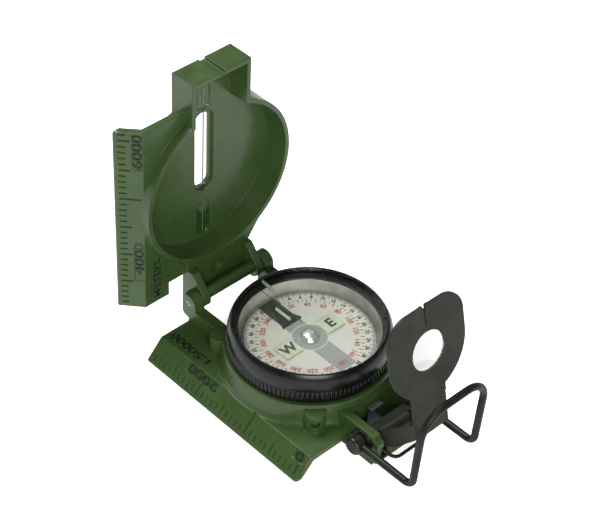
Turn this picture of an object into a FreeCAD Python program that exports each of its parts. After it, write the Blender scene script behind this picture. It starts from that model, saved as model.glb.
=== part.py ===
"""Lensatic sighting compass: base, folding cover, rotating bezel, dial, lens bracket and thumb loop.

Millimetres. X runs along the hinge, Y points from the thumb loop to the hinge and Z points up.
The dial turns about the Z axis and the base rests on the plane z = 0. The cover stands upright
on its hinge and the lens bracket is unfolded, as in use. The cover is drawn shut, as a lid,
and then stood up about the hinge.
"""
import FreeCAD, Part
import os
from math import atan2, pi, sin, cos, sqrt

V = FreeCAD.Vector
X_AXIS = V(1, 0, 0)
Y_AXIS = V(0, 1, 0)
Z_AXIS = V(0, 0, 1)

# Driving dimensions
closed_height = 25.7          # thickness of the shut compass over the two ruler edges
hinge_y = 34.7                # hinge axis, where the two 1:50 000 rulers meet
hinge_z = closed_height / 2
ruler_length = 62.5           # hinge axis to the far end of the cover's ruler wing
base_ruler_length = 62.1
ruler_gap = 0.1               # hinge axis to the near end of either wing
ruler_edge_x = -30.4          # outer edge of both ruler wings
crease_x = -25.2              # where the bevel of a wing meets its flat
flat_drop = 6.6               # distance of the wing flats from the hinge plane
wing_thickness = 1.9
body_radius = 25.0
body_top = 12.6               # rim of the base under the bezel
dish_radius = 26.2            # outside of the cover's round wall
dish_rim_z = 16.4             # rim of the shut cover
dish_floor_z = 23.8           # inside of the shut cover's floor
dish_back_z = 25.6            # outside of the shut cover's floor
box_back_z = 24.9             # outside of the square end
box_half_width = 10.5         # square end of the cover over the lens bracket
box_end = 72.6                # hinge axis to the end of that box
bezel_radius = 23.6           # over the knurl
bezel_top = 22.3
capsule_radius = 21.6
capsule_top = 18.4
dial_radius = 18.5
dial_top = 14.4
tongue_half_width = 10.4      # rear tongue of the base, which carries bracket and loop
tongue_end = -37.9
tongue_top = 10.5
bracket_y = -35.2             # axis of the lens bracket
bracket_z = 8.0
bracket_height = 15.05        # bracket axis to the middle of its plate
bracket_reach = 31.25         # along the plate from the axis to the lens centre
bracket_fold = 76.5           # degrees from unfolded to flat on the bezel
bracket_thickness = 0.9
lens_radius = 5.8
loop_y = -32.0                # axis of the thumb loop
loop_z = 6.3
loop_wire = 1.1               # radius of the thumb loop's wire
loop_half_width = 12.0        # middle of either arm from the centre plane
bail_y = -36.8                # axis of the lanyard bail
bail_z = 5.2
bail_wire = 0.5
lever_y = -23.3               # axis of the dial lock lever
lever_z = 2.7

wing_flat_z = hinge_z - flat_drop


# ---- Helpers ----
def block(x0, x1, y0, y1, z0, z1):
    return Part.makeBox(x1 - x0, y1 - y0, z1 - z0, V(x0, y0, z0))


def rod(radius, start, end):
    start = V(*start)
    along = V(*end) - start
    return Part.makeCylinder(radius, along.Length, start, along)


def tube(outer, inner, z0, z1):
    ring = Part.makeCylinder(outer, z1 - z0, V(0, 0, z0))
    return ring.cut(Part.makeCylinder(inner, z1 - z0 + 2, V(0, 0, z0 - 1)))


def prism(points, direction):
    """Straight-sided outline pushed along direction."""
    corners = [V(*p) for p in points]
    return Part.Face(Part.makePolygon(corners + corners[:1])).extrude(V(*direction))


def turned(profile):
    """Radius and height outline turned about the Z axis."""
    corners = [V(r, 0, z) for r, z in profile]
    return Part.Face(Part.makePolygon(corners + corners[:1])).revolve(V(0, 0, 0), Z_AXIS, 360)


def along_x(profile, x0, x1):
    """Outline in Y and Z pushed along X."""
    return prism([(x0, y, z) for y, z in profile], (x1 - x0, 0, 0))


def stadium(x, y0, y1, half_width, z0, z1):
    """Upright slot with round ends, from y0 to y1."""
    shape = block(x - half_width, x + half_width, y0 + half_width, y1 - half_width, z0, z1)
    for y in (y0 + half_width, y1 - half_width):
        shape = shape.fuse(Part.makeCylinder(half_width, z1 - z0, V(x, y, z0)))
    return shape.removeSplitter()


def turn_x(shape, y, z, degrees):
    shape = shape.copy()
    shape.rotate(V(0, y, z), X_AXIS, degrees)
    return shape


def stand(shape):
    """Turn a shape drawn in the shut cover to the upright cover."""
    return turn_x(shape, hinge_y, hinge_z, -90)


def fuse(shapes):
    result = shapes[0]
    for shape in shapes[1:]:
        result = result.fuse(shape)
    return result.removeSplitter()


def mirror_x(shape):
    return shape.mirror(V(0, 0, 0), X_AXIS)


tick_pitch = 2.0              # 100 m on the ground
tick_depth = 0.45
tick_half_width = 0.34
tick_outer = 0.9              # from the wing's edge to the ticks, along the bevel
short_tick = 3.0
medium_tick = 4.3
long_tick = 7.9
number_pocket_depth = 0.25
wing_corner = 1.1


def on_bevel(shape):
    """Lay a shape drawn with X in from the wing's edge and Z off its surface on the base's bevel."""
    shape = shape.copy()
    slope = pi / 2 - atan2(crease_x - ruler_edge_x, wing_flat_z - 0.5)
    shape.rotate(V(0, 0, 0), Y_AXIS, -slope * 180 / pi)
    shape.translate(V(ruler_edge_x, 0, 0.5))
    return shape


def ruler_grooves(first_mark, first_y, count):
    """Rounded grooves every 100 m, longer at each 500 m and longest at each 1000 m."""
    grooves = []
    for i in range(count):
        mark = first_mark + i
        length = short_tick
        if mark % 5 == 0:
            length = medium_tick
        if mark % 10 == 0 and mark % 20 != 0:
            length = long_tick
        y = first_y + i * tick_pitch
        x0 = tick_outer + tick_half_width
        x1 = length - tick_half_width
        groove = block(x0, x1, y - tick_half_width, y + tick_half_width, -tick_depth, 1)
        for x in (x0, x1):
            groove = groove.fuse(Part.makeCylinder(tick_half_width, 1 + tick_depth, V(x, y, -tick_depth)))
        grooves.append(on_bevel(groove))
    return Part.makeCompound(grooves)


def number_pocket(y0, y1):
    """Shallow rectangle in the bevel that the raised numbers stand in."""
    return on_bevel(block(4.8, 7.6, y0, y1, -number_pocket_depth, 1))


def wing(y_far, y_near):
    """Ruler wing of the base: bevelled edge, then a flat that runs in under the round body."""
    plan = block(ruler_edge_x, 20, y_far, y_near, -1, 40)
    corner = [e for e in plan.Edges if e.BoundBox.ZLength > 40 and e.BoundBox.XMax < ruler_edge_x + 0.1
              and e.BoundBox.YMax < y_far + 0.1]
    plan = plan.makeFillet(wing_corner, corner)
    flat = wing_flat_z
    under = flat - wing_thickness
    inner_crease = crease_x + 1.2
    profile = [(ruler_edge_x, 0.0), (ruler_edge_x, 0.5), (crease_x, flat), (0.0, flat),
               (0.0, under), (inner_crease, under), (ruler_edge_x + 2.3, 0.0)]
    return prism([(x, y_far, z) for x, z in profile], (0, y_near - y_far, 0)).common(plan)


# ---- Base casting ----
lug_inner = 11.8
lug_outer = 15.2
lug_front = hinge_y + 2.3
lug_radius = 3.3
arm_top = 11.6
arm_bottom = wing_flat_z - wing_thickness
lug_bottom = 7.8              # underside of the lugs, beyond the end of the wing
tongue_wall = 2.6
pocket_half_width = tongue_half_width - tongue_wall
pocket_front = -25.05
floor_thickness = 1.5
boss_radius = 3.0
boss_top = 11.9
screw_z = 9.2
screw_outer = 26.3            # outer end of each capsule screw, from the dial's axis
rear_wall_front = -37.1
rear_wall_top = 6.2


def hinge_arm():
    """Left hinge arm of the base with its round-topped lug."""
    profile = [(15.0, arm_bottom), (hinge_y - 0.3, arm_bottom), (hinge_y - 0.3, lug_bottom),
               (lug_front - 0.9, lug_bottom + 0.2), (lug_front, lug_bottom + 1.2), (lug_front, hinge_z + 1.8), (lug_front - 1.2, hinge_z + 3.1),
               (hinge_y - 3.1, hinge_z + 1.2), (hinge_y - 3.4, arm_top), (15.0, arm_top)]
    arm = along_x(profile, -lug_outer, -lug_inner)
    lug = rod(lug_radius, (-lug_outer, hinge_y, hinge_z), (-lug_inner, hinge_y, hinge_z))
    front_limit = block(-20, 0, 0, lug_front, 0, 30)
    return arm.fuse(lug.common(front_limit))


def make_base():
    plan_edge = Part.makeCylinder(body_radius, wing_flat_z, V(0, 0, 0))
    rise = [(0, wing_flat_z - 1), (body_radius, wing_flat_z - 1), (body_radius, wing_flat_z + 0.8),
            (body_radius - 0.6, body_top - 0.8), (body_radius - 0.9, body_top), (0, body_top)]
    foot = [(body_radius - 1, wing_flat_z - 0.5), (body_radius + 1.1, wing_flat_z - 0.5),
            (body_radius + 1.1, wing_flat_z), (body_radius + 0.4, wing_flat_z + 0.35),
            (body_radius, wing_flat_z + 1.2), (body_radius - 1, wing_flat_z + 1.2)]
    far_end = hinge_y - base_ruler_length
    near_end = hinge_y - ruler_gap
    wing_area = block(ruler_edge_x - 1, 0, far_end, near_end, 0, 30)
    foot_ring = turned(foot).common(wing_area)
    wing_plate = wing(far_end, near_end)
    wing_plate = wing_plate.cut(block(-lug_inner, 1, 12, hinge_y + 1, 0, 30))
    side_wall = block(-tongue_half_width, tongue_half_width, tongue_end, -20, 0, tongue_top)
    for y, z in ((tongue_end, 0.0), (tongue_end, tongue_top)):
        corner = rod(1.6, (-20, y, z), (20, y, z))
        side_wall = side_wall.cut(corner)
    boss_places = [(-16.2, -19.4), (-15.9, 20.0), (22.9, 10.2)]
    boss_height = boss_top - wing_flat_z + 1.2
    bosses = [Part.makeCylinder(boss_radius, boss_height, V(x, y, wing_flat_z - 1.2)) for x, y in boss_places]
    arms = [hinge_arm(), mirror_x(hinge_arm())]
    body = fuse([plan_edge, turned(rise), foot_ring, wing_plate, side_wall] + arms + bosses)
    cavity = Part.makeCylinder(capsule_radius + 0.05, body_top, V(0, 0, floor_thickness))
    pocket = block(-pocket_half_width, pocket_half_width, rear_wall_front, pocket_front, 1.2, 30)
    wall_notch = block(-pocket_half_width, pocket_half_width, tongue_end - 1, rear_wall_front + 1,
                       rear_wall_top, 30)
    lever_slot = block(-3.2, 3.2, pocket_front - 1, -20, floor_thickness - 0.3, 4.1)
    body = body.cut(fuse([cavity, pocket, wall_notch]))
    body = body.cut(lever_slot)
    body = body.cut(rod(0.85, (-20, hinge_y, hinge_z), (20, hinge_y, hinge_z)))
    body = body.cut(rod(1.0, (-12, bracket_y, bracket_z), (12, bracket_y, bracket_z)))
    body = body.cut(rod(1.05, (-12, loop_y, loop_z), (12, loop_y, loop_z)))
    for side in (-1, 1):
        body = body.cut(rod(bail_wire + 0.05, (side * 7, bail_y, bail_z), (side * 9.8, bail_y, bail_z)))
        bail_slot = block(6.2, 8.6, tongue_end - 1, -36.0, 2.4, 6.7)
        body = body.cut(bail_slot if side > 0 else mirror_x(bail_slot))
        body = body.cut(rod(0.6, (side * 2.9, lever_y, lever_z), (side * 5.6, lever_y, lever_z)))
    for x, y in boss_places:
        reach = sqrt(x * x + y * y)
        inward = V(-x / reach, -y / reach, 0)
        start = V(x, y, screw_z) - inward * 4
        body = body.cut(Part.makeCylinder(0.8, 8, start, inward))
        mouth = V(x, y, screw_z) - inward * (30 - reach)
        body = body.cut(Part.makeCylinder(1.35, 30 - screw_outer, mouth, inward))
    body = body.cut(ruler_grooves(-1, -25.3 - tick_pitch, 31))
    for y0, y1 in ((-26.4, -22.0), (9.4, 21.4)):
        body = body.cut(number_pocket(y0, y1))
    spring_pocket = tube(23.3, 22.3, body_top - 0.7, body_top + 1)
    body = body.cut(spring_pocket.common(block(0, 30, -12, 12, 0, 30)))
    return body, boss_places


base_casting, boss_places = make_base()


# ---- Capsule, fixed crystal and the dial's pivot ----
capsule_floor = 4.7
capsule_cup = turned([(1.7, capsule_floor), (capsule_radius, capsule_floor), (capsule_radius, capsule_top),
                      (capsule_radius - 0.6, capsule_top), (capsule_radius - 0.6, capsule_floor + 0.6),
                      (1.7, capsule_floor + 0.6)])
lower_crystal = Part.makeCylinder(capsule_radius - 0.9, 1.0, V(0, 0, capsule_top - 1.0))
crystal_gasket = tube(capsule_radius - 0.6, capsule_radius - 0.9, capsule_top - 1.0, capsule_top)
retaining_ring = tube(22.1, 20.2, capsule_top, capsule_top + 0.6)
pivot_tip = dial_top - 0.85
pivot_post = fuse([Part.makeCylinder(1.4, 1.0, V(0, 0, floor_thickness)),
                   Part.makeCylinder(0.6, pivot_tip - 0.7 - floor_thickness, V(0, 0, floor_thickness)),
                   Part.makeCone(0.6, 0.08, 0.7, V(0, 0, pivot_tip - 0.7))])
spring_arc = tube(23.2, 22.9, body_top - 0.7, body_top - 0.1)
bezel_click_spring = spring_arc.common(block(0, 30, -11.5, 11.5, 0, 30))


def retaining_screw(x, y):
    reach = sqrt(x * x + y * y)
    inward = V(-x / reach, -y / reach, 0)
    start = V(x, y, screw_z) - inward * (screw_outer - reach)
    screw = Part.makeCylinder(0.8, screw_outer - 22.1, start, inward)
    slot_box = block(-0.15, 0.15, -1, 1, -1, 0.4)
    slot_box.Placement = FreeCAD.Placement(start, FreeCAD.Rotation(Z_AXIS, inward))
    return screw.cut(slot_box)


capsule_screws = Part.makeCompound([retaining_screw(x, y) for x, y in boss_places])


# ---- Rotating bezel ----
crystal_seat = 20.3
bezel_bore = capsule_radius + 0.15
bezel_turn_at_rest = -5.0
bezel_ring = turned([(bezel_bore, body_top + 0.3), (bezel_radius, body_top + 0.3), (bezel_radius, 16.4),
                     (bezel_radius - 0.3, 16.6), (bezel_radius - 0.4, bezel_top - 0.4),
                     (bezel_radius - 0.8, bezel_top), (21.95, bezel_top), (21.95, crystal_seat + 1.0),
                     (22.4, crystal_seat + 1.0), (22.4, capsule_top - 0.15), (bezel_bore, capsule_top - 0.15)])
bezel_crystal = Part.makeCylinder(22.1, 1.0, V(0, 0, crystal_seat))
bezel_seal = tube(22.4, 22.1, crystal_seat, crystal_seat + 1.0)
bezel_vial = rod(0.5, (0, 15.4, crystal_seat - 0.5), (0, 21.9, crystal_seat - 0.5))
bezel_vial.rotate(V(0, 0, 0), Z_AXIS, bezel_turn_at_rest)


# ---- Floating dial and its lifter ----
card_thickness = 0.5
card_bottom = dial_top - card_thickness
dial_card = tube(dial_radius, 1.5, card_bottom, dial_top)
dial_hub = turned([(0.55, card_bottom - 0.9), (1.5, card_bottom - 0.9), (1.5, dial_top), (2.8, dial_top),
                   (2.8, dial_top + 0.6), (2.0, dial_top + 1.5), (0.9, dial_top + 1.9),
                   (0.0, dial_top + 1.9), (0.0, dial_top - 0.3), (0.55, dial_top - 0.3)])
jewel_depth = 0.35
dial_jewel = Part.makeCylinder(0.55, 0.5, V(0, 0, dial_top - 0.8))
dial_jewel = dial_jewel.cut(Part.makeCone(0.4, 0.05, jewel_depth, V(0, 0, dial_top - 0.8)))
magnet_half_length = 16.0
dial_magnet = block(-2.4, 2.4, -magnet_half_length, magnet_half_length, card_bottom - 0.9, card_bottom)
dial_magnet = dial_magnet.fuse(Part.makeCylinder(4.3, 0.9, V(0, 0, card_bottom - 0.9)))
dial_magnet = dial_magnet.removeSplitter().cut(Part.makeCylinder(1.5, 4, V(0, 0, card_bottom - 2)))
arrow_base = 7.2
arrow_tip = 15.2
north_arrow = prism([(-3.6, arrow_base, dial_top), (3.6, arrow_base, dial_top), (0.5, arrow_tip, dial_top),
                     (-0.5, arrow_tip, dial_top)], (0, 0, 0.5))
north_vial = rod(0.45, (0, 8.2, dial_top + 0.95), (0, 14.0, dial_top + 0.95))


def side_window(side):
    """Clear box and luminous plate of the E or W mark."""
    x0 = side * 4.5
    x1 = side * 11.5
    plate = block(min(x0, x1) + 0.5, max(x0, x1) - 0.5, -2.6, 2.6, dial_top, dial_top + 0.4)
    cover = block(min(x0, x1), max(x0, x1), -3.1, 3.1, dial_top, dial_top + 1.1)
    return plate, cover.cut(plate)


east_light, east_window = side_window(1)
west_light, west_window = side_window(-1)
lifter_top = card_bottom - 1.2
dial_lifter = turned([(0.75, 3.4), (2.7, 3.4), (2.7, 3.75), (1.4, 3.75), (1.4, lifter_top - 0.5),
                      (3.4, lifter_top - 0.5), (3.4, lifter_top), (0.75, lifter_top)])


# ---- Dial lock lever ----
def make_lever():
    """Flat fork under the capsule, a waist over its pin and a bent tab in the rear pocket."""
    leaf = block(-2.4, 2.4, -35.0, 0, lever_z - 0.4, lever_z + 0.4)
    fork_end = Part.makeCylinder(3.4, 0.8, V(0, 0, lever_z - 0.4))
    knuckle = rod(1.0, (-2.6, lever_y, lever_z), (2.6, lever_y, lever_z))
    riser = block(-2.3, 2.3, -26.2, -25.6, lever_z, 8.7)
    tab = block(-2.3, 2.3, -27.5, -25.6, 8.1, 8.7)
    lever = fuse([leaf, fork_end, knuckle, riser, tab])
    fork_gap = block(-1.7, 1.7, -1.7, 5, 0, 6)
    lever = lever.cut(fork_gap)
    return lever.cut(rod(0.62, (-4, lever_y, lever_z), (4, lever_y, lever_z)))


lock_lever = make_lever()
lever_pin = rod(0.58, (-5.5, lever_y, lever_z), (5.5, lever_y, lever_z))


# ---- Lens bracket ----
neck_left = -7.5              # the neck stands a little to the left of the lens
neck_right = 4.9
neck_end = 6.2                # from the pivot to the neck's lower edge, along the plate
plate_half_width = 13.9
plate_top = 13.7


def bracket_outline():
    """Plan of the plate about the lens centre: round below, flat-topped above, with a neck."""
    lower = Part.makeCylinder(plate_half_width, bracket_thickness)
    upper = block(-plate_half_width, plate_half_width, 0, plate_top, 0, bracket_thickness)
    edges = [e for e in upper.Edges if abs(e.BoundBox.ZLength - bracket_thickness) < 1e-6
             and e.BoundBox.YMin > plate_top - 0.1]
    upper = upper.makeFillet(7.5, edges)
    neck = block(neck_left, neck_right, neck_end - bracket_reach, -8, 0, bracket_thickness)
    return fuse([lower, upper, neck])


def make_bracket():
    """Drawn folded flat over the bezel, then swung up. Two ears bent off the neck reach the pivot."""
    plate = bracket_outline()
    plate = plate.cut(Part.makeCylinder(lens_radius, 4, V(0, 0, -1)))
    plate = plate.cut(block(-0.2, 0.2, plate_top - 6.0, plate_top + 1, -1, 4))
    plate = plate.cut(block(-0.6, 0.6, plate_top - 1.1, plate_top + 1, -1, 4))
    plate.translate(V(0, bracket_y + bracket_reach, bracket_z + bracket_height - bracket_thickness / 2))
    half = bracket_thickness / 2
    plate_z = bracket_z + bracket_height
    ear = [(bracket_y + neck_end, plate_z), (bracket_y + 11.0, plate_z), (bracket_y + 3.2, bracket_z + 1.5),
           (bracket_y + 1.6, bracket_z - 1.6), (bracket_y - 1.4, bracket_z - 1.8),
           (bracket_y - 2.4, bracket_z + 0.6), (bracket_y - 0.6, bracket_z + 6.0),
           (bracket_y + neck_end - 2.0, plate_z - 2.6)]
    ears = [along_x(ear, neck_left, neck_left + bracket_thickness),
            along_x(ear, neck_right - bracket_thickness, neck_right)]
    barrel = rod(2.1, (neck_left, bracket_y, bracket_z), (pocket_half_width - 0.4, bracket_y, bracket_z))
    cam = block(-7.2, 7.2, bracket_y - 0.7, bracket_y + 0.7, bracket_z - 4.9, bracket_z)
    bracket = fuse([plate, barrel, cam] + ears)
    for x, inward in ((neck_left, 1), (neck_right, -1)):
        bend = along_x([(bracket_y + neck_end - 1, plate_z + half + 1), (bracket_y + 16, plate_z + half + 1),
                        (bracket_y + 16, plate_z), (bracket_y + neck_end - 1, plate_z)], x, x + inward * half)
        round_off = rod(half, (x + inward * half, bracket_y + neck_end - 1, plate_z),
                        (x + inward * half, bracket_y + 16, plate_z))
        bracket = bracket.cut(bend.cut(round_off))
    bracket = bracket.cut(rod(1.03, (-9, bracket_y, bracket_z), (9, bracket_y, bracket_z)))
    return turn_x(bracket, bracket_y, bracket_z, bracket_fold)


lens_bracket = make_bracket()
lens_z = bracket_z + bracket_height
sight_lens = Part.makeCylinder(lens_radius, 0.8, V(0, bracket_y + bracket_reach, lens_z - 0.4))
sight_lens = turn_x(sight_lens, bracket_y, bracket_z, bracket_fold)
bracket_pin = rod(1.0, (-tongue_half_width, bracket_y, bracket_z), (tongue_half_width, bracket_y, bracket_z))


# ---- Thumb loop ----
def swept_wire(radius, points, corner_radius):
    """Round wire along straight runs joined by arcs of corner_radius (one value per corner)."""
    path = []
    start = points[0]
    for i in range(1, len(points) - 1):
        before = (points[i - 1] - points[i]).normalize()
        after = (points[i + 1] - points[i]).normalize()
        half_turn = before.getAngle(after) / 2
        setback = corner_radius[i - 1] / abs(sin(half_turn) / cos(half_turn))
        first = points[i] + before * setback
        last = points[i] + after * setback
        middle_way = (before + after).normalize()
        centre = points[i] + middle_way * (corner_radius[i - 1] / sin(half_turn))
        middle = centre - middle_way * corner_radius[i - 1]
        path.append(Part.LineSegment(start, first).toShape())
        path.append(Part.Arc(first, middle, last).toShape())
        start = last
    path.append(Part.LineSegment(start, points[-1]).toShape())
    direction = (points[1] - points[0]).normalize()
    section = Part.Wire(Part.makeCircle(radius, points[0], direction))
    return Part.Wire(path).makePipeShell([section], True, False)


loop_back = -52.6
loop_top = 32.8
loop_lean = 1.4
washer_outer = tongue_half_width + 0.4
loop_points = [V(-loop_half_width, loop_y, loop_z), V(-loop_half_width, loop_back, loop_z),
               V(-loop_half_width, loop_back - loop_lean, loop_top),
               V(loop_half_width, loop_back - loop_lean, loop_top),
               V(loop_half_width, loop_back, loop_z), V(loop_half_width, loop_y, loop_z)]
loop_wire_solid = swept_wire(loop_wire, loop_points, [3.0, 8.0, 8.0, 3.0])
thumb_loop = loop_wire_solid
for side in (-1, 1):
    eye = rod(2.4, (side * (washer_outer + 0.2), loop_y, loop_z), (side * (loop_half_width + 0.95), loop_y, loop_z))
    thumb_loop = thumb_loop.fuse(eye)
thumb_loop = thumb_loop.removeSplitter()
thumb_loop = thumb_loop.cut(rod(1.05, (-20, loop_y, loop_z), (20, loop_y, loop_z)))


def loop_rivet(side):
    head_x = loop_half_width + 1.25
    shank = rod(1.0, (side * pocket_half_width, loop_y, loop_z), (side * head_x, loop_y, loop_z))
    head = rod(2.7, (side * head_x, loop_y, loop_z), (side * (head_x + 1.1), loop_y, loop_z))
    rim = [e for e in head.Edges if abs(abs(e.BoundBox.XMin) - head_x - 1.1) < 1e-6
           and abs(e.BoundBox.XLength) < 1e-6]
    head = head.makeFillet(0.7, rim)
    return shank.fuse(head).removeSplitter()


def loop_washer(side):
    disc = rod(3.7, (side * tongue_half_width, loop_y, loop_z), (side * washer_outer, loop_y, loop_z))
    return disc.cut(rod(1.0, (-20, loop_y, loop_z), (20, loop_y, loop_z)))


# ---- Lanyard bail ----
bail_half_width = 7.75
bail_drop = 3.2
bail_set_back = 3.4
bail_end_half_width = 5.2
bail_points = [V(-9.7, bail_y, bail_z), V(-bail_half_width, bail_y, bail_z),
               V(-bail_end_half_width, bail_y - bail_set_back, bail_z - bail_drop),
               V(bail_end_half_width, bail_y - bail_set_back, bail_z - bail_drop),
               V(bail_half_width, bail_y, bail_z), V(9.7, bail_y, bail_z)]
lanyard_bail = swept_wire(bail_wire, bail_points, [0.6, 3.6, 3.6, 0.6])


# ---- Cover, drawn shut ----
cover_lug_outer = lug_inner - 0.35
cover_lug_inner = cover_lug_outer - 2.4
plate_z = hinge_z + 4.6
slot_near = 6.2
slot_far = -19.7
slot_half_width = 2.6
pockets = ((-25.6, 8.6), (17.4, 12.6))   # middle and length of each luminous pocket
box_far_y = hinge_y - box_end
flare_x = 21.6                # where the edge from the right lug runs out on the dish
flare_y = 14.8
wire_radius = 0.19
wire_hold = 1.3               # length of the sighting wire laid in the floor at either end


def cover_lug():
    """Left lug in the shut cover: a slanted arm from the plate to a round end on the hinge."""
    arm = [(hinge_y - 7.4, plate_z + 2), (hinge_y - 7.4, hinge_z + 2.3), (hinge_y - 1.6, hinge_z - 2.6),
           (hinge_y + 3.0, hinge_z), (hinge_y + 3.2, plate_z + 2)]
    arm = along_x(arm, -cover_lug_outer, -cover_lug_inner)
    return arm.fuse(rod(3.1, (-cover_lug_outer, hinge_y, hinge_z), (-cover_lug_inner, hinge_y, hinge_z)))


def make_cover():
    dish = Part.makeCylinder(dish_radius, dish_back_z - dish_rim_z, V(0, 0, dish_rim_z))
    box = block(-box_half_width, box_half_width, box_far_y, -10, dish_rim_z, box_back_z)
    wing_plate = wing(hinge_y - ruler_length, hinge_y - ruler_gap)
    wing_plate = wing_plate.cut(ruler_grooves(-61, hinge_y - 61.9, 31))
    for y0, y1 in ((hinge_y - 62.0, hinge_y - 50.0), (hinge_y - 22.0, hinge_y - 10.0)):
        wing_plate = wing_plate.cut(number_pocket(y0, y1))
    wing_plate = wing_plate.mirror(V(0, 0, hinge_z), Z_AXIS)
    notch = block(-lug_outer - 1.4, 1, hinge_y - 4.6, hinge_y + 5, 0, 40)
    wing_plate = wing_plate.cut(notch)
    hinge_plate = block(-cover_lug_outer, cover_lug_outer, 20, hinge_y + 3.2, plate_z, plate_z + wing_thickness)
    bar = rod(1.8, (-cover_lug_inner, hinge_y, hinge_z), (cover_lug_inner, hinge_y, hinge_z))
    web = along_x([(hinge_y + 3.2, plate_z + 0.6), (hinge_y + 1.4, plate_z + 0.6), (hinge_y - 1.0, hinge_z),
                   (hinge_y + 1.5, hinge_z)], -cover_lug_inner, cover_lug_inner)
    gusset = prism([(0, 10, plate_z), (flare_x, flare_y, plate_z), (cover_lug_outer, hinge_y - 5.5, plate_z),
                    (0, hinge_y - 5.5, plate_z)], (0, 0, wing_thickness))
    cover = fuse([dish, box, wing_plate, hinge_plate, gusset, bar, web, cover_lug(), mirror_x(cover_lug())])
    dish_hollow = Part.makeCone(dish_radius - 1.3, dish_radius - 1.7, dish_floor_z - dish_rim_z + 1,
                                V(0, 0, dish_rim_z - 1))
    box_hollow = block(-box_half_width + 1.3, box_half_width - 1.3, box_far_y + 1.3, 0,
                       dish_rim_z - 1, dish_floor_z)
    cover = cover.cut(dish_hollow.fuse(box_hollow))
    cover = cover.cut(stadium(0, slot_far, slot_near, slot_half_width, dish_floor_z - 1, dish_back_z + 1))
    recess = stadium(0, slot_far - 1, slot_near + 1, 3.65, dish_floor_z - 1, dish_floor_z + 0.7)
    cover = cover.cut(recess)
    for y, length in pockets:
        pocket = stadium(0, y - length / 2, y + length / 2, 2.3, dish_floor_z - 0.1, dish_floor_z + 0.72)
        cover = cover.cut(pocket)
    for y in (slot_near, slot_far):
        seat = block(-wire_radius - 0.02, wire_radius + 0.02, y - wire_hold - 0.1, y + wire_hold + 0.1,
                     dish_floor_z - 0.1, dish_floor_z + 2 * wire_radius + 0.02)
        cover = cover.cut(seat)
    sight_groove = block(-1.1, 1.1, box_far_y - 1, box_far_y + 0.7, dish_rim_z - 1, dish_back_z + 1)
    cover = cover.cut(sight_groove)
    mark = Part.makeCylinder(2.2, 1.0, V(0, hinge_y - 3.2, plate_z))
    cover = cover.cut(mark)
    return stand(cover.cut(rod(0.9, (-20, hinge_y, hinge_z), (20, hinge_y, hinge_z))))


cover_casting = make_cover()
wire_z = dish_floor_z + wire_radius
sighting_wire = stand(rod(wire_radius, (0, slot_far - wire_hold, wire_z), (0, slot_near + wire_hold, wire_z)))


def cover_light(y, length):
    """Luminous tube of the cover and the clear resin that fills its pocket round it."""
    floor = dish_floor_z
    vial = rod(0.3, (0, y - length / 2 + 1.4, floor + 0.35), (0, y + length / 2 - 1.4, floor + 0.35))
    fill = stadium(0, y - length / 2, y + length / 2, 2.3, floor, floor + 0.7)
    return stand(vial), stand(fill.cut(vial))


upper_light, upper_resin = cover_light(*pockets[0])
lower_light, lower_resin = cover_light(*pockets[1])


def hinge_pin(side):
    """Spring roll pin through one base lug and the cover lug beside it."""
    inner = cover_lug_inner + 0.2
    pin = rod(0.85, (side * inner, hinge_y, hinge_z), (side * (lug_outer - 0.1), hinge_y, hinge_z))
    return pin.cut(rod(0.45, (-20, hinge_y, hinge_z), (20, hinge_y, hinge_z)))


# ---- Parts ----
parts = {
    "base_casting": base_casting,
    "capsule_cup": capsule_cup,
    "lower_crystal": lower_crystal,
    "crystal_gasket": crystal_gasket,
    "retaining_ring": retaining_ring,
    "capsule_screws": capsule_screws,
    "pivot_post": pivot_post,
    "bezel_click_spring": bezel_click_spring,
    "lever_pin": lever_pin,
    "bracket_pin": bracket_pin,
    "hinge_pin_left": hinge_pin(-1),
    "hinge_pin_right": hinge_pin(1),
    "loop_rivet_left": loop_rivet(-1),
    "loop_rivet_right": loop_rivet(1),
    "loop_washer_left": loop_washer(-1),
    "loop_washer_right": loop_washer(1),
    "bezel_ring": bezel_ring,
    "bezel_crystal": bezel_crystal,
    "bezel_seal": bezel_seal,
    "bezel_vial": bezel_vial,
    "dial_card": dial_card,
    "dial_hub": dial_hub,
    "dial_jewel": dial_jewel,
    "dial_magnet": dial_magnet,
    "north_arrow": north_arrow,
    "north_vial": north_vial,
    "east_light": east_light,
    "east_window": east_window,
    "west_light": west_light,
    "west_window": west_window,
    "dial_lifter": dial_lifter,
    "lock_lever": lock_lever,
    "lens_bracket": lens_bracket,
    "sight_lens": sight_lens,
    "thumb_loop": thumb_loop,
    "lanyard_bail": lanyard_bail,
    "cover_casting": cover_casting,
    "sighting_wire": sighting_wire,
    "upper_light": upper_light,
    "upper_resin": upper_resin,
    "lower_light": lower_light,
    "lower_resin": lower_resin,
}

os.makedirs("parts", exist_ok=True)
for name, shape in parts.items():
    print(name, "valid" if shape.isValid() else "NOT VALID", len(shape.Solids), round(shape.Volume, 2))
    shape.exportStep("parts/" + name + ".step")
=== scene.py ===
"""Looks of a folding sighting compass: castings, knurled bezel, glazed dial, bracket and thumb loop."""

import math

import bpy
import numpy as np
from mathutils import Matrix, Vector


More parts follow.
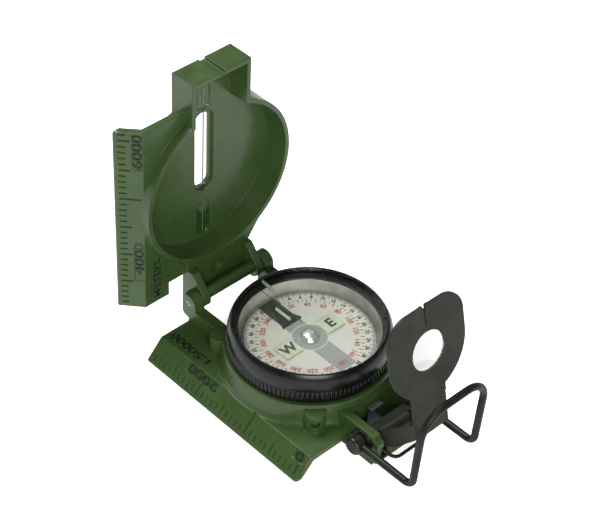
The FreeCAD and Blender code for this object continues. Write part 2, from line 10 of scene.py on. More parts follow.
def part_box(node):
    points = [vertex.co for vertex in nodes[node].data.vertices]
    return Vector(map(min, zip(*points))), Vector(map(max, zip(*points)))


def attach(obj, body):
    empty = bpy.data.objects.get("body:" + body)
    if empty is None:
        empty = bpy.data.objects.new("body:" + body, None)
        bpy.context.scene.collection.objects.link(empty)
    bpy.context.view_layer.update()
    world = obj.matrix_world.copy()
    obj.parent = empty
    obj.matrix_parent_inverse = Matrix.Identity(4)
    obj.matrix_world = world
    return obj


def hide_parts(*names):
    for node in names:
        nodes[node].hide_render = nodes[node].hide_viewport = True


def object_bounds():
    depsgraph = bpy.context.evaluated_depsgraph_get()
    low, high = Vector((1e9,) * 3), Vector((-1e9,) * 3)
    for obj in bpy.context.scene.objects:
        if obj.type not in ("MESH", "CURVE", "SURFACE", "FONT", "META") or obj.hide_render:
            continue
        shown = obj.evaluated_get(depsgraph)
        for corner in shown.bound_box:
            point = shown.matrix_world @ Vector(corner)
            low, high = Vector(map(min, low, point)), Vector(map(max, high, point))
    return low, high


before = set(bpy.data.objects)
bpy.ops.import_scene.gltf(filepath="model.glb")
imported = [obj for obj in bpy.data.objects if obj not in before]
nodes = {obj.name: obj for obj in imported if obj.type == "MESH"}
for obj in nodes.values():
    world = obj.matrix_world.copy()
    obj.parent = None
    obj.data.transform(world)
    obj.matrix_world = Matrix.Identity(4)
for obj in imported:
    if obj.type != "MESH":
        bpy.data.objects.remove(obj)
cad_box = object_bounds()

# ---- Cast and painted base and cover ----
# Both halves are aluminium pressure castings sprayed with a semi-gloss olive paint. The paint
# has a fine orange peel, is a little uneven in tone, and rounds off the sharp cast edges.


def socket(group, name, kind, way, value=None):
    """Adds one named input or output to a node group."""
    s = group.interface.new_socket(name=name, in_out=way, socket_type="NodeSocket" + kind)
    if value is not None:
        s.default_value = value
    return s


def mix_colours(tree, factor, a, b, blend="MIX"):
    """Colour mix node: a where factor is 0, b where it is 1. Each may be a socket or a colour."""
    mix = tree.nodes.new("ShaderNodeMix")
    mix.data_type = "RGBA"
    mix.blend_type = blend
    for value, place in ((factor, 0), (a, 6), (b, 7)):
        if hasattr(value, "is_output"):
            tree.links.new(value, mix.inputs[place])
        else:
            mix.inputs[place].default_value = value
    return mix.outputs[2]


def noise(tree, vector, scale, detail=2.0, rough=0.5):
    """Noise of the given scale in cells per metre; its output runs from 0 to 1."""
    n = tree.nodes.new("ShaderNodeTexNoise")
    n.inputs["Scale"].default_value = scale
    n.inputs["Detail"].default_value = detail
    n.inputs["Roughness"].default_value = rough
    tree.links.new(vector, n.inputs["Vector"])
    return n.outputs["Fac"]


def ramp(tree, value, low, high, out_low=0.0, out_high=1.0):
    """Straight ramp of value from low..high to out_low..out_high, held at both ends."""
    m = tree.nodes.new("ShaderNodeMapRange")
    for name, number in (("From Min", low), ("From Max", high), ("To Min", out_low), ("To Max", out_high)):
        m.inputs[name].default_value = number
    tree.links.new(value, m.inputs["Value"])
    return m.outputs["Result"]


def new_group(name):
    """Empty shader node group; gives the tree and its input and output nodes."""
    g = bpy.data.node_groups.new(name, "ShaderNodeTree")
    return g, g.nodes.new("NodeGroupInput"), g.nodes.new("NodeGroupOutput")


# Sprayed paint: uneven tone, small speckle of dust and an orange-peel height.
sprayed_paint, paint_in, paint_out = new_group("sprayed_paint")
socket(sprayed_paint, "Colour", "Color", "INPUT", (0.1, 0.1, 0.05, 1))
socket(sprayed_paint, "Light colour", "Color", "INPUT", (0.2, 0.2, 0.1, 1))
socket(sprayed_paint, "Base roughness", "Float", "INPUT", 0.4)
socket(sprayed_paint, "Colour", "Color", "OUTPUT")
socket(sprayed_paint, "Roughness", "Float", "OUTPUT")
socket(sprayed_paint, "Height", "Float", "OUTPUT")
place = sprayed_paint.nodes.new("ShaderNodeTexCoord").outputs["Object"]
tone = ramp(sprayed_paint, noise(sprayed_paint, place, 60, 3), 0.35, 0.7)
toned = mix_colours(sprayed_paint, tone, paint_in.outputs["Colour"], paint_in.outputs["Light colour"])
speck = ramp(sprayed_paint, noise(sprayed_paint, place, 2600, 2, 0.6), 0.66, 0.78, 0.0, 0.08)
sprayed_paint.links.new(mix_colours(sprayed_paint, speck, toned, (0.32, 0.34, 0.24, 1)),
                        paint_out.inputs["Colour"])
peel = noise(sprayed_paint, place, 1300, 3, 0.55)
sprayed_paint.links.new(peel, paint_out.inputs["Height"])
rough_add = sprayed_paint.nodes.new("ShaderNodeMath")
rough_add.operation = "ADD"
sprayed_paint.links.new(ramp(sprayed_paint, noise(sprayed_paint, place, 240, 3), 0.3, 0.7, -0.05, 0.09),
                        rough_add.inputs[0])
sprayed_paint.links.new(paint_in.outputs["Base roughness"], rough_add.inputs[1])
sprayed_paint.links.new(rough_add.outputs[0], paint_out.inputs["Roughness"])


def new_material(name, **plain):
    """Material with one Principled shader; plain values are set straight on its sockets."""
    m = bpy.data.materials.new(name)
    m.use_nodes = True
    shader = m.node_tree.nodes["Principled BSDF"]
    for key, value in plain.items():
        shader.inputs[key.replace("_", " ")].default_value = value
    return m, m.node_tree, shader


def use_group(tree, group, **values):
    """Places a node group in a material and sets its inputs."""
    n = tree.nodes.new("ShaderNodeGroup")
    n.node_tree = group
    for key, value in values.items():
        n.inputs[key.replace("_", " ")].default_value = value
    return n


def bump(tree, shader, height, distance, strength=0.5):
    """Feeds a height through a Bump node into the shader's normal; distance is in metres."""
    b = tree.nodes.new("ShaderNodeBump")
    b.inputs["Distance"].default_value = distance
    b.inputs["Strength"].default_value = strength
    tree.links.new(height, b.inputs["Height"])
    tree.links.new(b.outputs["Normal"], shader.inputs["Normal"])
    return b


def soften_edges(tree, bump_node, radius):
    """Rounds the shading of sharp cast edges by radius metres, under the bump."""
    bevel = tree.nodes.new("ShaderNodeBevel")
    bevel.samples = 8
    bevel.inputs["Radius"].default_value = radius
    tree.links.new(bevel.outputs["Normal"], bump_node.inputs["Normal"])


def painted(name, colour, light, rough, peel_depth=0.000008, edge_radius=0.00042):
    """Sprayed paint between a darker and a lighter tone, under a thin clear coat."""
    m, t, shader = new_material(name, Coat_Weight=0.22, Coat_Roughness=0.16, Specular_IOR_Level=0.35)
    g = use_group(t, sprayed_paint, Colour=colour, Light_colour=light, Base_roughness=rough)
    t.links.new(g.outputs["Colour"], shader.inputs["Base Color"])
    t.links.new(g.outputs["Roughness"], shader.inputs["Roughness"])
    b = bump(t, shader, g.outputs["Height"], peel_depth, 0.35)
    soften_edges(t, b, edge_radius)
    return m


def dress(material, *names):
    """Gives CAD nodes a material."""
    for name in names:
        for slot in nodes[name].material_slots:
            slot.material = material


olive_paint = painted("olive_paint", (0.037, 0.075, 0.017, 1), (0.049, 0.095, 0.025, 1), 0.30)
dress(olive_paint, "base_casting", "cover_casting")


# ---- Raised ruler numbers ----
# The numbers of the 1:50 000 rulers stand in shallow pockets of the bevels, and the scale and
# the unit stand on the flats. They are cast with the halves; their darker green is painted shade, for the
# shade in and round the cast letters.
hinge = np.array([0.0, 0.0347, 0.01285])
bevel_edge = np.array([-0.0304, 0.0, 0.0005])
bevel_crease = np.array([-0.0252, 0.0, 0.00625])
bevel_length = float(np.linalg.norm(bevel_crease - bevel_edge))
bevel_in = (bevel_crease - bevel_edge) / bevel_length
bevel_out = np.cross(bevel_in, (0.0, 1.0, 0.0))
if bevel_out[2] < 0:
    bevel_out = -bevel_out


def new_piece(name, verts, faces, material, body, smooth=False):
    """Mesh piece from arrays of points and faces, riding on a body."""
    mesh = bpy.data.meshes.new(name)
    mesh.from_pydata(np.asarray(verts, float).tolist(), [], faces)
    mesh.validate()
    mesh.materials.append(material)
    if smooth:
        mesh.polygons.foreach_set("use_smooth", np.ones(len(mesh.polygons), bool))
    mesh.update()
    piece = bpy.data.objects.new(name, mesh)
    bpy.context.scene.collection.objects.link(piece)
    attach(piece, body)
    return piece


def lettering(text, size, bold, thick=0.0):
    """Text as points and faces in its own plane, centred: X along the line, Y up the letters."""
    curve = bpy.data.curves.new("lettering", "FONT")
    curve.body = text
    curve.size = size
    curve.offset = bold
    curve.extrude = thick / 2
    curve.align_x = "CENTER"
    curve.align_y = "CENTER"
    curve.resolution_u = 3
    holder = bpy.data.objects.new("lettering", curve)
    mesh = bpy.data.meshes.new_from_object(holder)
    points = np.empty(len(mesh.vertices) * 3)
    mesh.vertices.foreach_get("co", points)
    faces = [tuple(f.vertices) for f in mesh.polygons]
    bpy.data.objects.remove(holder)
    bpy.data.curves.remove(curve)
    bpy.data.meshes.remove(mesh)
    return points.reshape(-1, 3), faces


def laid(points, origin, along, up):
    """Plane letters set at origin: x runs along, y runs up, z off the surface (along x up)."""
    along = np.asarray(along, float)
    up = np.asarray(up, float)
    out = np.cross(along, up)
    return np.asarray(origin, float) + points[:, :1] * along + points[:, 1:2] * up + points[:, 2:3] * out


def gather(parts):
    """One list of points and one of faces from several."""
    verts = []
    faces = []
    start = 0
    for points, own in parts:
        verts.append(points)
        faces += [tuple(i + start for i in f) for f in own]
        start += len(points)
    return np.concatenate(verts), faces


def stand_up(points):
    """Turns points drawn in the shut cover to the upright cover, a quarter turn about the hinge."""
    d = points - hinge
    return hinge + np.stack([d[:, 0], d[:, 2], -d[:, 1]], 1)


raised = 0.00034
number_size = 0.0037
unit_size = 0.0035
number_bold = 0.00006
number_row = 0.0062
pocket_depth = 0.00025
wide = np.array([1.6, 1.0, 1.0])
# Painted shade: the numbers get a darker, glossier green than the olive paint, standing in for the shade of
# the pockets and of their own sides.
number_shade_paint = painted("number_shade_paint", (0.010, 0.021, 0.006, 1), (0.016, 0.032, 0.009, 1), 0.24)
base_words = []
for text, y in (("0", -0.0242), ("2000", 0.0154)):
    p, f = lettering(text, number_size, number_bold, raised)
    spot = bevel_edge + bevel_in * number_row - bevel_out * (pocket_depth - raised / 2) + (0, y, 0)
    base_words.append((laid(p * wide, spot, (0, 1, 0), -bevel_in), f))
p, f = lettering("1:50000", number_size, number_bold, raised)
base_words.append((laid(p * (1.38, 1, 1), (-0.0222, 0.0250, bevel_crease[2]), (0, 1, 0), (-1, 0, 0)), f))
v, f = gather(base_words)
new_piece("base_ruler_numbers", v, f, number_shade_paint, "base")

# In the shut cover the rulers are the base's mirrored in the hinge plane, so X stays and Z is mirrored.
cover_words = []
for text, y in (("6000", hinge[1] - 0.056), ("4000", hinge[1] - 0.0183)):
    p, f = lettering(text, number_size, number_bold, raised)
    spot = bevel_edge + bevel_in * number_row - bevel_out * (pocket_depth - raised / 2) + (0, y, 0)
    up_shut = -bevel_in * (1, 1, -1)
    spot[2] = 2 * hinge[2] - spot[2]
    cover_words.append((stand_up(laid(p * wide, spot, (0, -1, 0), up_shut)), f))
p, f = lettering("METERS", unit_size, number_bold, raised)
spot = np.array([-0.0210, hinge[1] - 0.0088, 2 * hinge[2] - bevel_crease[2]])
cover_words.append((stand_up(laid(p * (1.2, 1, 1), spot, (0, -1, 0), (-1, 0, 0))), f))
v, f = gather(cover_words)
new_piece("cover_ruler_numbers", v, f, number_shade_paint, "cover")


# ---- Luminous tubes, resin and sighting wire of the cover ----
# Two luminous glass tubes each lie in a pocket filled with clear resin. The sighting wire is
# blackened steel over the slot, and the small black fittings of the base share its finish.
def lit_tube(name, colour, glow):
    """Clouded glass under a clear coat, with a faint glow of its own."""
    m, t, shader = new_material(name, Roughness=0.28, Coat_Weight=0.6, Coat_Roughness=0.05)
    where = t.nodes.new("ShaderNodeTexCoord").outputs["Object"]
    cloud = ramp(t, noise(t, where, 900, 2), 0.3, 0.7)
    t.links.new(mix_colours(t, cloud, colour, tuple(min(1.0, c * 1.25) for c in colour[:3]) + (1,)),
                shader.inputs["Base Color"])
    shader.inputs["Emission Color"].default_value = colour
    shader.inputs["Emission Strength"].default_value = glow
    bump(t, shader, noise(t, where, 1500, 2), 0.00001, 0.4)
    return m


luminous = lit_tube("luminous_tube", (0.62, 0.68, 0.42, 1), 0.02)
grey_tube = lit_tube("cover_tube", (0.30, 0.36, 0.28, 1), 0.0)
dress(luminous, "north_vial")
dress(grey_tube, "upper_light", "lower_light", "bezel_vial")


def clear(name, tint, rough, ior=1.5):
    """Clear glass or resin that lets lamp light and scattered light through to what lies behind."""
    m, t, shader = new_material(name, Transmission_Weight=1.0, IOR=ior)
    shader.inputs["Base Color"].default_value = tint
    where = t.nodes.new("ShaderNodeTexCoord").outputs["Object"]
    smear = ramp(t, noise(t, where, 120, 4, 0.6), 0.4, 0.8, rough, rough + 0.02)
    t.links.new(smear, shader.inputs["Roughness"])
    open_way = t.nodes.new("ShaderNodeBsdfTransparent")
    open_way.inputs["Color"].default_value = (0.97, 0.98, 0.97, 1)
    path = t.nodes.new("ShaderNodeLightPath")
    either = t.nodes.new("ShaderNodeMath")
    either.operation = "MAXIMUM"
    t.links.new(path.outputs["Is Shadow Ray"], either.inputs[0])
    t.links.new(path.outputs["Is Diffuse Ray"], either.inputs[1])
    mix = t.nodes.new("ShaderNodeMixShader")
    t.links.new(either.outputs[0], mix.inputs[0])
    t.links.new(shader.outputs[0], mix.inputs[1])
    t.links.new(open_way.outputs[0], mix.inputs[2])
    out = t.nodes["Material Output"]
    t.links.new(mix.outputs[0], out.inputs["Surface"])
    return m


clear_resin = clear("clear_resin", (0.60, 0.74, 0.55, 1), 0.06, 1.35)
dress(clear_resin, "upper_resin", "lower_resin")


def blackened(name, colour, rough, coat=0.25, scratch=0.0, shine=0.35):
    """Black finish on metal: slightly uneven, with fine bright rubs where scratch is above 0."""
    m, t, shader = new_material(name, Coat_Weight=coat, Coat_Roughness=0.25, Specular_IOR_Level=shine)
    where = t.nodes.new("ShaderNodeTexCoord").outputs["Object"]
    base = mix_colours(t, ramp(t, noise(t, where, 150, 3), 0.35, 0.7), colour,
                       tuple(c * 1.7 + 0.002 for c in colour[:3]) + (1,))
    rubs = ramp(t, noise(t, where, 2100, 4, 0.7), 0.68, 0.76, 0.0, scratch)
    t.links.new(mix_colours(t, rubs, base, (0.3, 0.3, 0.31, 1)), shader.inputs["Base Color"])
    t.links.new(ramp(t, noise(t, where, 420, 3), 0.3, 0.75, rough - 0.05, rough + 0.08),
                shader.inputs["Roughness"])
    b = bump(t, shader, noise(t, where, 1700, 3, 0.6), 0.000012, 0.4)
    soften_edges(t, b, 0.00018)
    return m


black_finish = blackened("black_finish", (0.006, 0.006, 0.0065, 1), 0.30, 0.25, 0.05)
dress(black_finish, "sighting_wire", "loop_washer_left", "loop_washer_right", "loop_rivet_left",
      "loop_rivet_right", "bracket_pin", "lanyard_bail", "retaining_ring", "north_arrow", "capsule_screws")


# ---- Steel pieces ----
# The lever is pressed from sheet and the roll pins are rolled strip, all left bright with a dulled
# skin. The loop is bent from wire and darkened. The cup, lifter and magnet use the same recipe.
def drawn_steel(name, colour, rough, metal=1.0):
    """Bare metal with a fine grain in its gloss and duller patches."""
    m, t, shader = new_material(name, Metallic=metal)
    where = t.nodes.new("ShaderNodeTexCoord").outputs["Object"]
    lines = noise(t, where, 3200, 4, 0.65)
    dull = ramp(t, noise(t, where, 170, 3), 0.4, 0.75)
    t.links.new(mix_colours(t, dull, colour, tuple(c * 0.62 for c in colour[:3]) + (1,)),
                shader.inputs["Base Color"])
    t.links.new(ramp(t, lines, 0.3, 0.7, rough - 0.07, rough + 0.1), shader.inputs["Roughness"])
    b = bump(t, shader, lines, 0.000008, 0.45)
    soften_edges(t, b, 0.00012)
    return m


loop_finish = blackened("loop_finish", (0.011, 0.0125, 0.009, 1), 0.34, 0.0, 0.02, 0.16)
dress(loop_finish, "thumb_loop")
plain_steel = drawn_steel("plain_steel", (0.55, 0.6, 0.64, 1), 0.28)
dress(plain_steel, "lock_lever", "bezel_click_spring", "lever_pin", "hinge_pin_left",
      "hinge_pin_right", "pivot_post")
bright_cup = drawn_steel("spun_aluminium", (0.84, 0.82, 0.77, 1), 0.5, metal=0.25)
dress(bright_cup, "capsule_cup")
grey_bar = drawn_steel("grey_magnet", (0.3, 0.31, 0.31, 1), 0.45)
dress(grey_bar, "dial_magnet")
brass = drawn_steel("turned_brass", (0.75, 0.56, 0.24, 1), 0.3)
dress(brass, "dial_lifter")
ruby, ruby_tree, ruby_shader = new_material("jewel_ruby", Roughness=0.08, Coat_Weight=1.0)
ruby_place = ruby_tree.nodes.new("ShaderNodeTexCoord").outputs["Object"]
ruby_tone = ramp(ruby_tree, noise(ruby_tree, ruby_place, 4000, 2), 0.3, 0.7)
ruby_tree.links.new(mix_colours(ruby_tree, ruby_tone, (0.45, 0.02, 0.05, 1), (0.6, 0.05, 0.09, 1)),
                    ruby_shader.inputs["Base Color"])
dress(ruby, "dial_jewel")
rubber = blackened("black_rubber", (0.01, 0.01, 0.01, 1), 0.7, 0.0)
dress(rubber, "crystal_gasket", "bezel_seal")


# ---- Dial card and its print ----
# The card is a thin pearly plastic disc. A black mil scale runs round its rim and a red degree
# scale inside it; a grey bar, dark at its north end, widens to a ring round the hub.
dial_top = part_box("dial_card")[1][2]
card, card_tree, card_shader = new_material("pearl_card", Coat_Weight=0.3, Coat_Roughness=0.15)
card_place = card_tree.nodes.new("ShaderNodeTexCoord").outputs["Object"]
pearl = ramp(card_tree, noise(card_tree, card_place, 90, 4, 0.6), 0.3, 0.72)
card_tree.links.new(mix_colours(card_tree, pearl, (0.76, 0.745, 0.66, 1), (0.85, 0.84, 0.77, 1)),
                    card_shader.inputs["Base Color"])
card_tree.links.new(ramp(card_tree, noise(card_tree, card_place, 300, 2), 0.3, 0.7, 0.34, 0.46),
                    card_shader.inputs["Roughness"])
bump(card_tree, card_shader, noise(card_tree, card_place, 1600, 2), 0.000008, 0.3)
dress(card, "dial_card")


def printing_ink(name, colour):
    """Dull ink that is a little thin in places."""
    m, t, shader = new_material(name)
    where = t.nodes.new("ShaderNodeTexCoord").outputs["Object"]
    cover = ramp(t, noise(t, where, 2500, 2), 0.3, 0.75)
    t.links.new(mix_colours(t, cover, colour, tuple(c * 1.35 + 0.01 for c in colour[:3]) + (1,)),
                shader.inputs["Base Color"])
    t.links.new(ramp(t, cover, 0, 1, 0.42, 0.6), shader.inputs["Roughness"])
    return m


black_ink = printing_ink("black_ink", (0.02, 0.022, 0.02, 1))
red_ink = printing_ink("red_ink", (0.40, 0.045, 0.035, 1))
grey_ink = printing_ink("grey_ink", (0.30, 0.315, 0.30, 1))
white_ink = printing_ink("white_ink", (0.66, 0.66, 0.60, 1))
north_ink = printing_ink("north_ink", (0.025, 0.028, 0.027, 1))
ink_lift = 0.00002


def radial_bars(bearings, r0, r1, widths, z):
    """Flat bars from radius r0 to r1 at the given bearings, clockwise from +Y, as quads facing +Z."""
    a = np.radians(np.asarray(bearings, float))
    out = np.stack([np.sin(a), np.cos(a)], 1)
    side = np.stack([np.cos(a), -np.sin(a)], 1) * (np.asarray(widths, float) / 2)[:, None]
    r0 = np.broadcast_to(r0, a.shape)[:, None]
    r1 = np.broadcast_to(r1, a.shape)[:, None]
    ring = np.stack([out * r0 - side, out * r0 + side, out * r1 + side, out * r1 - side], 1)
    points = np.concatenate([ring.reshape(-1, 2), np.full((len(a) * 4, 1), z)], 1)
    faces = np.arange(len(a) * 4).reshape(-1, 4)
    return points, [tuple(f) for f in faces]


def flat_ring(r0, r1, z, steps=160):
    """Flat ring facing +Z between two radii: point (i, j) is radius j at angle i."""
    a = np.linspace(0, 2 * np.pi, steps, endpoint=False)
    ring = np.stack([np.cos(a), np.sin(a)], 1)
    xy = np.concatenate([ring * r0, ring * r1])
    points = np.concatenate([xy, np.full((2 * steps, 1), z)], 1)
    i = np.arange(steps)
    j = (i + 1) % steps
    return points, [tuple(f) for f in np.stack([i, i + steps, j + steps, j], 1)]


def turned_text(text, size, bold, radius, bearing, z):
    """Text with its top outwards, its middle at a radius and a bearing clockwise from +Y."""
    p, f = lettering(text, size, bold)
    a = math.radians(bearing)
    out = np.array([math.sin(a), math.cos(a), 0.0])
    along = np.array([math.cos(a), -math.sin(a), 0.0])
    return laid(p, out * radius + (0, 0, z), along, out), f


print_z = dial_top + ink_lift
mils = np.arange(0, 320)
mil_bearings = mils * 360 / 320
mil_out = 0.01830
mil_in = np.where(mils % 5 == 0, 0.0171, 0.0176)
mil_width = np.where(mils % 5 == 0, 0.00022, 0.00012)
black_print = [radial_bars(mil_bearings, mil_in, mil_out, mil_width, print_z),
               flat_ring(0.01822, 0.01836, print_z + 0.000001)]
for k in range(1, 32):
    black_print.append(turned_text(str(2 * k), 0.00155, 0.00008, 0.01645, k * 360 / 32, print_z))
v, f = gather(black_print)
new_piece("dial_black_print", v, f, black_ink, "dial")

degrees = np.arange(0, 360, 5)
degree_out = 0.0156
degree_in = np.where(degrees % 10 == 0, 0.0143, 0.0148)
degree_width = np.where(degrees % 10 == 0, 0.0003, 0.00022)
red_print = [radial_bars(degrees, degree_in, degree_out, degree_width, print_z)]
for d in range(20, 360, 20):
    red_print.append(turned_text(str(d), 0.00205, 0.00005, 0.0133, d, print_z + 0.00003))
v, f = gather(red_print)
new_piece("dial_red_print", v, f, red_ink, "dial")

bar_half = 0.0030
bar_inner = 0.0040
ring_inner = 0.0026
ring_outer = 0.0050
north_bar = [radial_bars([0.0], bar_inner, 0.0152, [2 * bar_half], print_z + 0.00001),
             radial_bars([180.0], bar_inner, degree_out, [2 * bar_half], print_z + 0.00001),
             flat_ring(ring_inner, ring_outer, print_z + 0.00002)]
v, f = gather(north_bar)
new_piece("dial_north_bar", v, f, grey_ink, "dial")
v, f = radial_bars([0.0], 0.0072, 0.01836, [2 * bar_half], print_z + 0.000015)
new_piece("dial_north_end", v, f, north_ink, "dial")
edge_bars = [flat_ring(ring_outer, 0.0053, print_z + 0.000012)]
for side in (-1, 1):
    for y0, y1 in ((0.0046, degree_out), (-degree_out, -0.0046)):
        x = side * (bar_half + 0.00022)
        quad = np.array([(x - 0.0002, y0), (x + 0.0002, y0), (x + 0.0002, y1), (x - 0.0002, y1)])
        edge_bars.append((np.concatenate([quad, np.full((4, 1), print_z + 0.000012)], 1), [(0, 1, 2, 3)]))
v, f = gather(edge_bars)
new_piece("dial_bar_edges", v, f, white_ink, "dial")


# ---- East and west marks, hub dome ----
# Luminous plates under clear boxes carry the black letters E and W. The hub is a polished dome
# over the jewel.
plate_paint = lit_tube("luminous_plate", (0.78, 0.79, 0.62, 1), 0.03)
dress(plate_paint, "east_light", "west_light")
window_clear = clear("window_plastic", (0.97, 0.98, 0.95, 1), 0.02, 1.08)
dress(window_clear, "east_window", "west_window")
letters = []
for text, x, node in (("E", 0.0080, "east_light"), ("W", -0.0080, "west_light")):
    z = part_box(node)[1][2] + 0.00003
    p, f = lettering(text, 0.0046, 0.00018)
    letters.append((laid(p, (x, 0, z), (1, 0, 0), (0, 1, 0)), f))
v, f = gather(letters)
new_piece("dial_letters", v, f, black_ink, "dial")
hub_dome, hub_tree, hub_shader = new_material("hub_dome", Metallic=0.75, Coat_Weight=1.0, Coat_Roughness=0.03)
hub_place = hub_tree.nodes.new("ShaderNodeTexCoord").outputs["Object"]
hub_tone = ramp(hub_tree, noise(hub_tree, hub_place, 700, 3), 0.3, 0.7)
hub_tree.links.new(mix_colours(hub_tree, hub_tone, (0.62, 0.63, 0.60, 1), (0.80, 0.81, 0.78, 1)),
                   hub_shader.inputs["Base Color"])
hub_tree.links.new(ramp(hub_tree, hub_tone, 0, 1, 0.24, 0.32), hub_shader.inputs["Roughness"])
dress(hub_dome, "dial_hub")


# ---- Crystals ----
# The capsule is closed by a mineral glass with the black index line on its top, and a second
# glass turns with the bezel above it.
glass = clear("mineral_glass", (0.985, 0.99, 0.985, 1), 0.0, 1.5)
dress(glass, "lower_crystal", "bezel_crystal")
index_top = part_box("lower_crystal")[1][2] + 0.00003
quad = np.array([(-0.00012, 0.0030), (0.00012, 0.0030), (0.00012, 0.0206), (-0.00012, 0.0206)])
new_piece("index_line", np.concatenate([quad, np.full((4, 1), index_top)], 1), [(0, 1, 2, 3)],
          black_ink, "base")


# ---- Bezel ----
# A black anodised aluminium ring, turned on a lathe. Straight knurling runs round its foot, the
# wall above is smooth, and a lip holds the upper glass.
bezel_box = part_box("bezel_ring")
bezel_low = bezel_box[0][2]
bezel_high = bezel_box[1][2]
knurl_count = 112
knurl_depth = 0.00042


def bezel_surface(around=knurl_count * 12):
    """Profile turned about Z: point (i, j) is profile point j at angle i. Between the knurl's
    ends each radius is drawn in by the depth times a wave that is flat on the narrow
    ridges and flat in the grooves."""
    profile = np.array([
        (0.02175, bezel_low + 0.0002, 0), (0.0220, bezel_low, 0), (0.0231, bezel_low, 0),
        (0.02345, bezel_low + 0.0001, 0.7), (0.0236, bezel_low + 0.0003, 1),
        (0.0236, bezel_low + 0.0018, 1),
        (0.0236, bezel_low + 0.0033, 1), (0.02345, bezel_low + 0.0035, 0.6), (0.0233, bezel_low + 0.00365, 0),
        (0.02325, bezel_low + 0.0039, 0), (0.02335, bezel_low + 0.0042, 0), (0.0233, bezel_high - 0.0034, 0),
        (0.02312, bezel_high - 0.0024, 0), (0.02282, bezel_high - 0.0015, 0), (0.0224, bezel_high - 0.0007, 0),
        (0.0221, bezel_high - 0.0003, 0), (0.0219, bezel_high - 0.0001, 0),
        (0.0217, bezel_high, 0), (0.0215, bezel_high - 0.0001, 0), (0.02142, bezel_high - 0.0003, 0),
        (0.02140, bezel_high - 0.00096, 0), (0.0224, bezel_high - 0.00098, 0), (0.0224, 0.01825, 0),
        (0.02175, 0.01824, 0)])
    a = np.linspace(0, 2 * np.pi, around, endpoint=False)
    wave = np.clip(1.8 * np.cos(a * knurl_count) - 0.2, -1, 1)
    cut = (1 - wave) / 2 * knurl_depth
    r = profile[None, :, 0] - cut[:, None] * profile[None, :, 2]
    x = r * np.cos(a)[:, None]
    y = r * np.sin(a)[:, None]
    z = np.broadcast_to(profile[None, :, 1], r.shape)
    points = np.stack([x, y, z], 2).reshape(-1, 3)
    n = len(profile)
    i = np.repeat(np.arange(around), n)
    j = np.tile(np.arange(n), around)
    i2 = (i + 1) % around
    j2 = (j + 1) % n
    faces = np.stack([i * n + j, i2 * n + j, i2 * n + j2, i * n + j2], 1)
    return points, faces.tolist()


bezel_black = blackened("anodised_black", (0.0022, 0.0024, 0.0026, 1), 0.25, 0.0, 0.01, 0.4)
v, f = bezel_surface()
bezel = new_piece("bezel_knurled", v, f, bezel_black, "bezel", smooth=True)
bezel.data.set_sharp_from_angle(angle=math.radians(38))
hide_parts("bezel_ring")


# ---- Lens bracket and its lens ----
# Pressed steel with a satin black finish; the magnifying lens is a thin glass disc.
bracket_black = blackened("bracket_black", (0.0125, 0.014, 0.0083, 1), 0.5, 0.0, 0.02)
dress(bracket_black, "lens_bracket")
lens_glass = clear("lens_glass", (0.97, 0.98, 0.96, 1), 0.0, 1.5)
dress(lens_glass, "sight_lens")


# ---- Floor, light and camera ----
# A plain pale floor, one broad soft light from above and behind, and a soft fill from the front left.
floor_z = cad_box[0][2] - 0.0001
floor_mat, floor_tree, floor_shader = new_material("pale_floor", Roughness=0.9)
floor_place = floor_tree.nodes.new("ShaderNodeTexCoord").outputs["Object"]
floor_tone = ramp(floor_tree, noise(floor_tree, floor_place, 12, 2), 0.3, 0.7)
floor_tree.links.new(mix_colours(floor_tree, floor_tone, (0.93, 0.93, 0.93, 1), (0.95, 0.95, 0.95, 1)),
                     floor_shader.inputs["Base Color"])
floor_shader.inputs["Emission Color"].default_value = (1, 1, 1, 1)
seen = floor_tree.nodes.new("ShaderNodeLightPath")
floor_tree.links.new(ramp(floor_tree, seen.outputs["Is Camera Ray"], 0, 1, 0.0, 0.75),
                     floor_shader.inputs["Emission Strength"])
floor_mesh = bpy.data.meshes.new("floor")
reach = 6.0
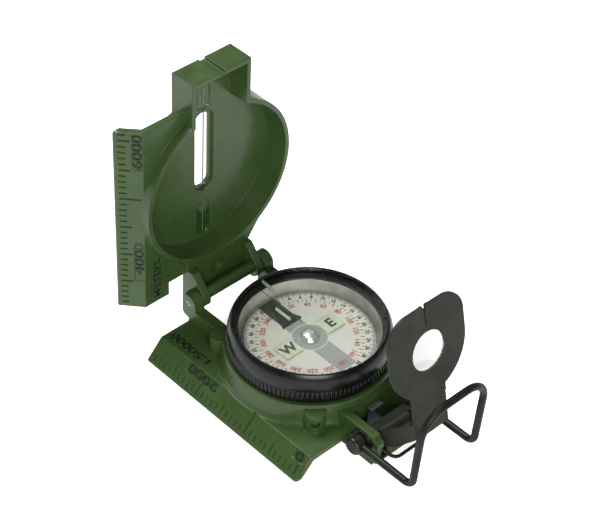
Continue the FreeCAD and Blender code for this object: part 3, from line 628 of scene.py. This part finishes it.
floor_mesh.from_pydata([(-reach, -reach, floor_z), (reach, -reach, floor_z), (reach, reach, floor_z),
                        (-reach, reach, floor_z)], [], [(0, 1, 2, 3)])
floor_mesh.materials.append(floor_mat)
floor = bpy.data.objects.new("floor", floor_mesh)
bpy.context.scene.collection.objects.link(floor)

world = bpy.data.worlds.new("studio") if not bpy.context.scene.world else bpy.context.scene.world
bpy.context.scene.world = world
world.use_nodes = True
world.node_tree.nodes["Background"].inputs["Color"].default_value = (1.0, 1.0, 1.0, 1)
world.node_tree.nodes["Background"].inputs["Strength"].default_value = 0.16


def soft_light(name, place, aim, size, power):
    """Square area light of the given size and power in watts, aimed at a point."""
    data = bpy.data.lights.new(name, "AREA")
    data.shape = "SQUARE"
    data.size = size
    data.energy = power
    lamp = bpy.data.objects.new(name, data)
    lamp.location = place
    lamp.rotation_euler = (Vector(aim) - Vector(place)).to_track_quat("-Z", "Y").to_euler()
    bpy.context.scene.collection.objects.link(lamp)


middle = (0.0, 0.0, 0.03)
soft_light("key_light", (0.0, 0.45, 0.78), middle, 0.45, 8.0)
soft_light("fill_light", (-0.45, -0.62, 0.5), middle, 0.5, 6.0)

camera_azimuth = math.radians(-45.309)
camera_height = math.radians(41.801)
camera_roll = math.radians(3.021)
camera_distance = 0.507519
camera_aim = Vector((-0.00269, 0.002725, 0.042226))
back = Vector((math.sin(camera_azimuth) * math.cos(camera_height),
               -math.cos(camera_azimuth) * math.cos(camera_height), math.sin(camera_height)))
right = (-back).cross(Vector((0, 0, 1))).normalized()
up = right.cross(-back)
right_rolled = right * math.cos(camera_roll) + up * math.sin(camera_roll)
up_rolled = up * math.cos(camera_roll) - right * math.sin(camera_roll)
camera_data = bpy.data.cameras.new("camera")
camera_data.sensor_width = 36.0
camera_data.lens = 112.467
camera_data.clip_start = 0.01
camera = bpy.data.objects.new("camera", camera_data)
turn = Matrix((right_rolled, up_rolled, back)).transposed().to_4x4()
camera.matrix_world = Matrix.Translation(camera_aim + back * camera_distance) @ turn
bpy.context.scene.collection.objects.link(camera)
bpy.context.scene.camera = camera
bpy.context.scene.view_settings.view_transform = "Standard"
